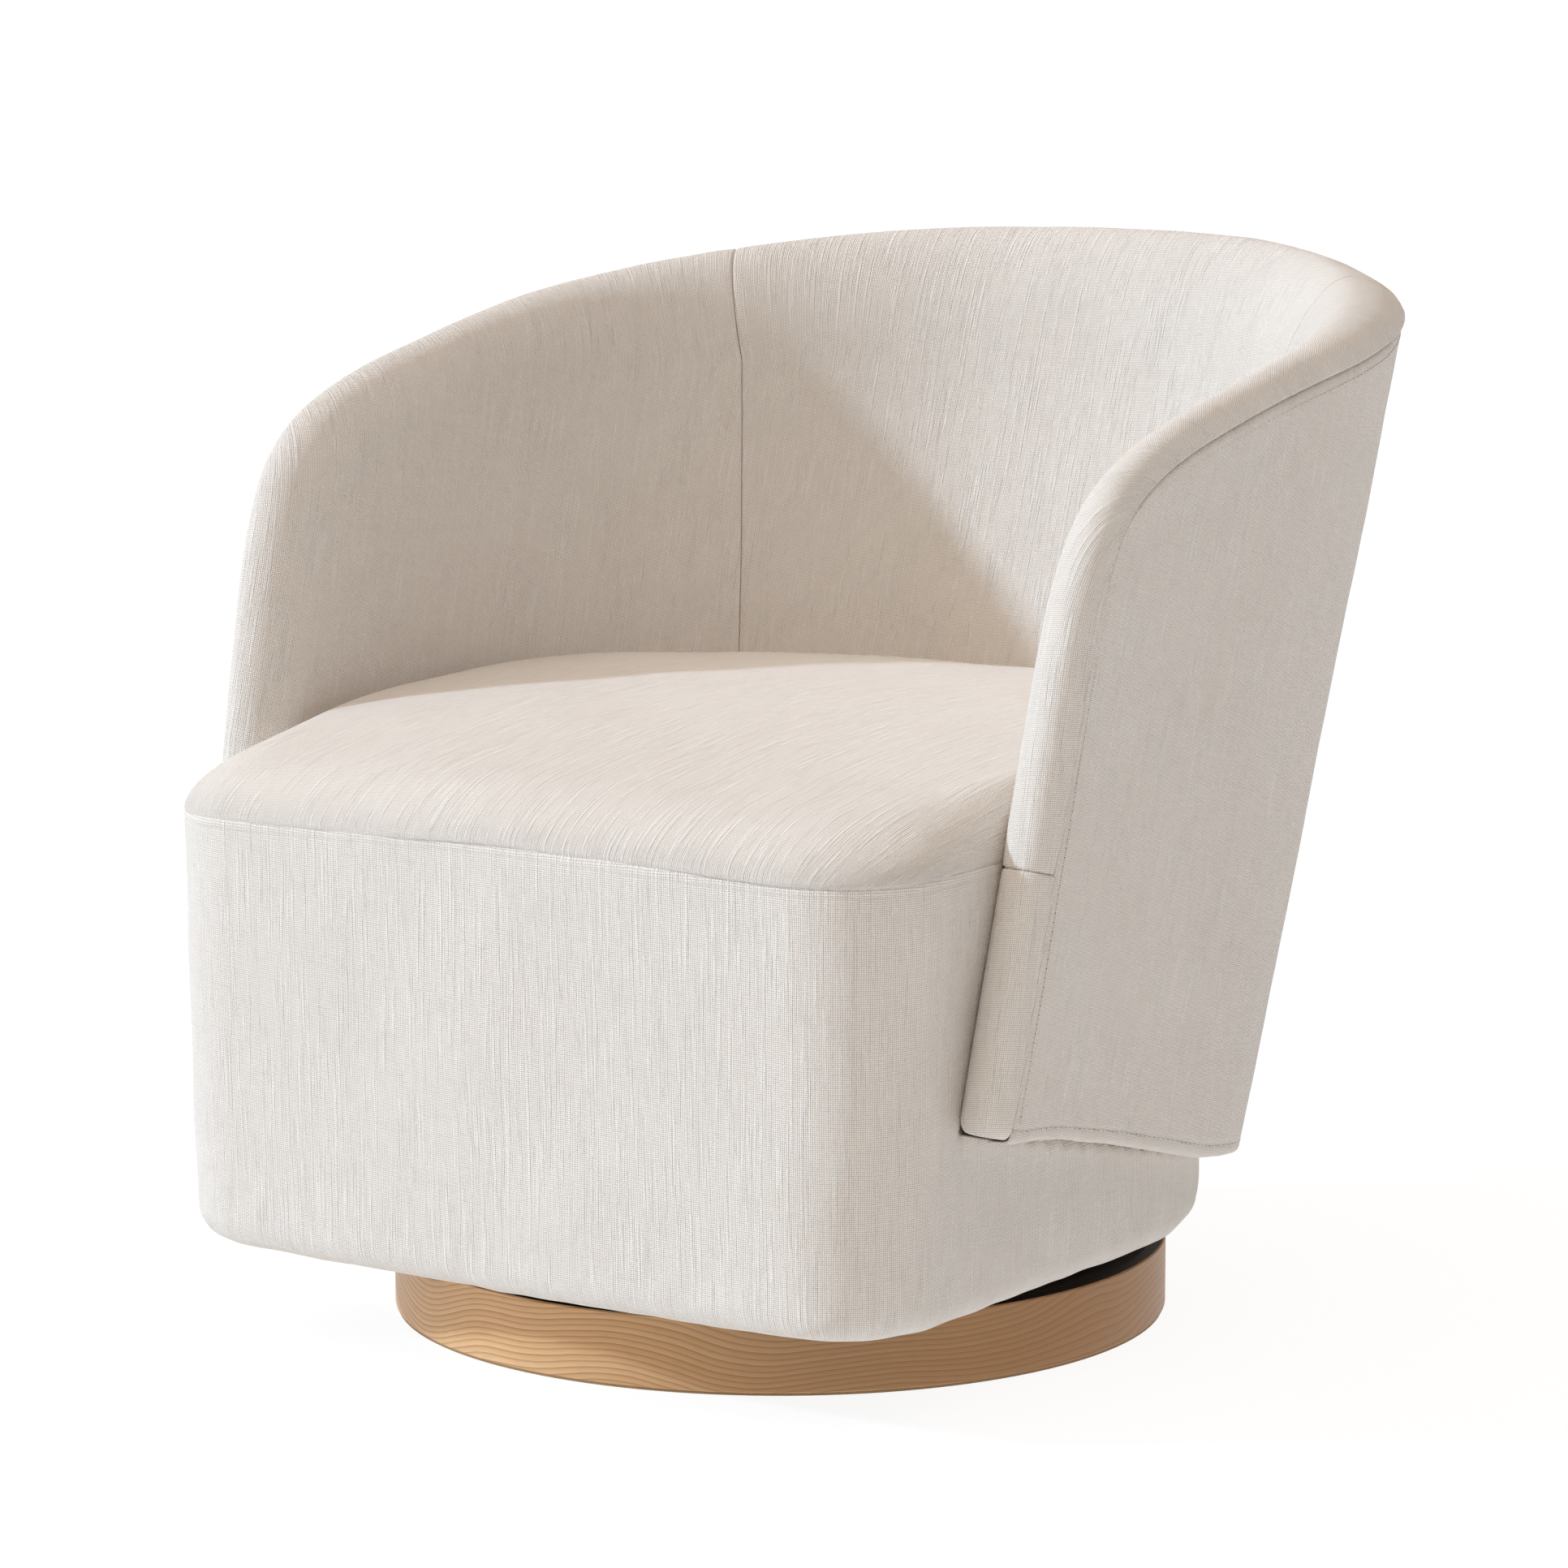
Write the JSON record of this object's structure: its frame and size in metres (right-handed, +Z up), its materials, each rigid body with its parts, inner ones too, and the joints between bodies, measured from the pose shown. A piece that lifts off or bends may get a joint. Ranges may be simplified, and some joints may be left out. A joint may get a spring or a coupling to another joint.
{
  "type": "swivel barrel chair",
  "caption": "Upholstered barrel chair with a crowned seat and a low leaning back and arms, that turns a full circle on a round wooden plinth.",
  "frame": {"origin": "centre of the round plinth, on the floor", "axes": "+Z up along the swivel axis, the sitter faces -Y, +X on the right of someone who looks at the chair from the front"},
  "size_m": [0.7519, 0.8824, 0.7813],
  "materials": {
    "plinth_wood": "clear satin lacquer on pale bent wood",
    "deck_paint": "matt dark brown paint",
    "frame_wood": "sawn plywood and softwood",
    "panel_board": "smooth hardboard",
    "glide_nylon": "moulded",
    "felt": "pressed felt",
    "cage_plastic": "moulded",
    "swivel_steel": "pressed and blackened",
    "fastener_steel": "bright zinc plated",
    "ball_steel": "polished",
    "webbing": "woven straps",
    "dust_cloth": "bonded black cloth",
    "lining": "plain woven lining cloth",
    "foam": "cut foam",
    "upholstery": "off-white basket weave, matt"
  },
  "bodies": {
    "base": {"plinth_ring": "plinth_wood", "plinth_deck": "deck_paint", "plinth_glue_blocks": "frame_wood", "floor_felt_ring": "felt", "swivel_lower_plate": "swivel_steel", "swivel_lower_screws": "fastener_steel", "swivel_kingpin": "fastener_steel", "swivel_pin_washer": "glide_nylon", "swivel_pin_nut": "fastener_steel"},
    "ball_ring": {"ball_cage": "cage_plastic", "bearing_balls": "ball_steel"},
    "seat": {"swivel_upper_plate": "swivel_steel", "swivel_upper_bolts": "fastener_steel", "swivel_tee_nuts": "fastener_steel", "seat_base_board": "frame_wood", "seat_front_rail": "frame_wood", "seat_side_rail_left": "frame_wood", "seat_side_rail_right": "frame_wood", "seat_rear_rail": "frame_wood", "seat_corner_blocks": "frame_wood", "seat_webbing_lengthwise": "webbing", "seat_webbing_crosswise": "webbing", "dust_cover": "dust_cloth", "seat_border_padding": "foam", "seat_border_cover": "upholstery", "seat_rear_cloth": "lining", "seat_foam_base": "foam", "seat_foam": "foam", "seat_top_cover": "upholstery", "barrel_bottom_rail": "frame_wood", "barrel_top_rail": "frame_wood", "arm_front_posts": "frame_wood", "barrel_side_posts": "frame_wood", "barrel_back_posts": "frame_wood", "barrel_bolts": "fastener_steel", "barrel_bolt_nuts": "fastener_steel", "barrel_bolt_spacers": "frame_wood", "barrel_outer_board": "panel_board", "barrel_inner_board": "panel_board", "inner_back_cover": "upholstery", "inner_back_padding": "foam", "inner_arm_cover_left": "upholstery", "arm_front_band_left": "upholstery", "inner_arm_padding_left": "foam", "inner_arm_cover_right": "upholstery", "arm_front_band_right": "upholstery", "inner_arm_padding_right": "foam", "top_roll": "foam", "barrel_underside_strip": "upholstery", "outer_cover": "upholstery", "outer_hem_band": "upholstery"}
  },
  "joints": [
    {"name": "seat_swivel", "type": "hinge", "parent": "base", "child": "seat", "pos_m": [0, 0, 0.066], "axis": [0, 0, 1], "continuous": true},
    {"name": "ball_ring_turn", "type": "hinge", "parent": "base", "child": "ball_ring", "pos_m": [0, 0, 0.066], "axis": [0, 0, 1], "continuous": true}
  ],
  "couplings": [
    {"joint": "ball_ring_turn", "follows": "seat_swivel", "ratio": 0.5}
  ]
}
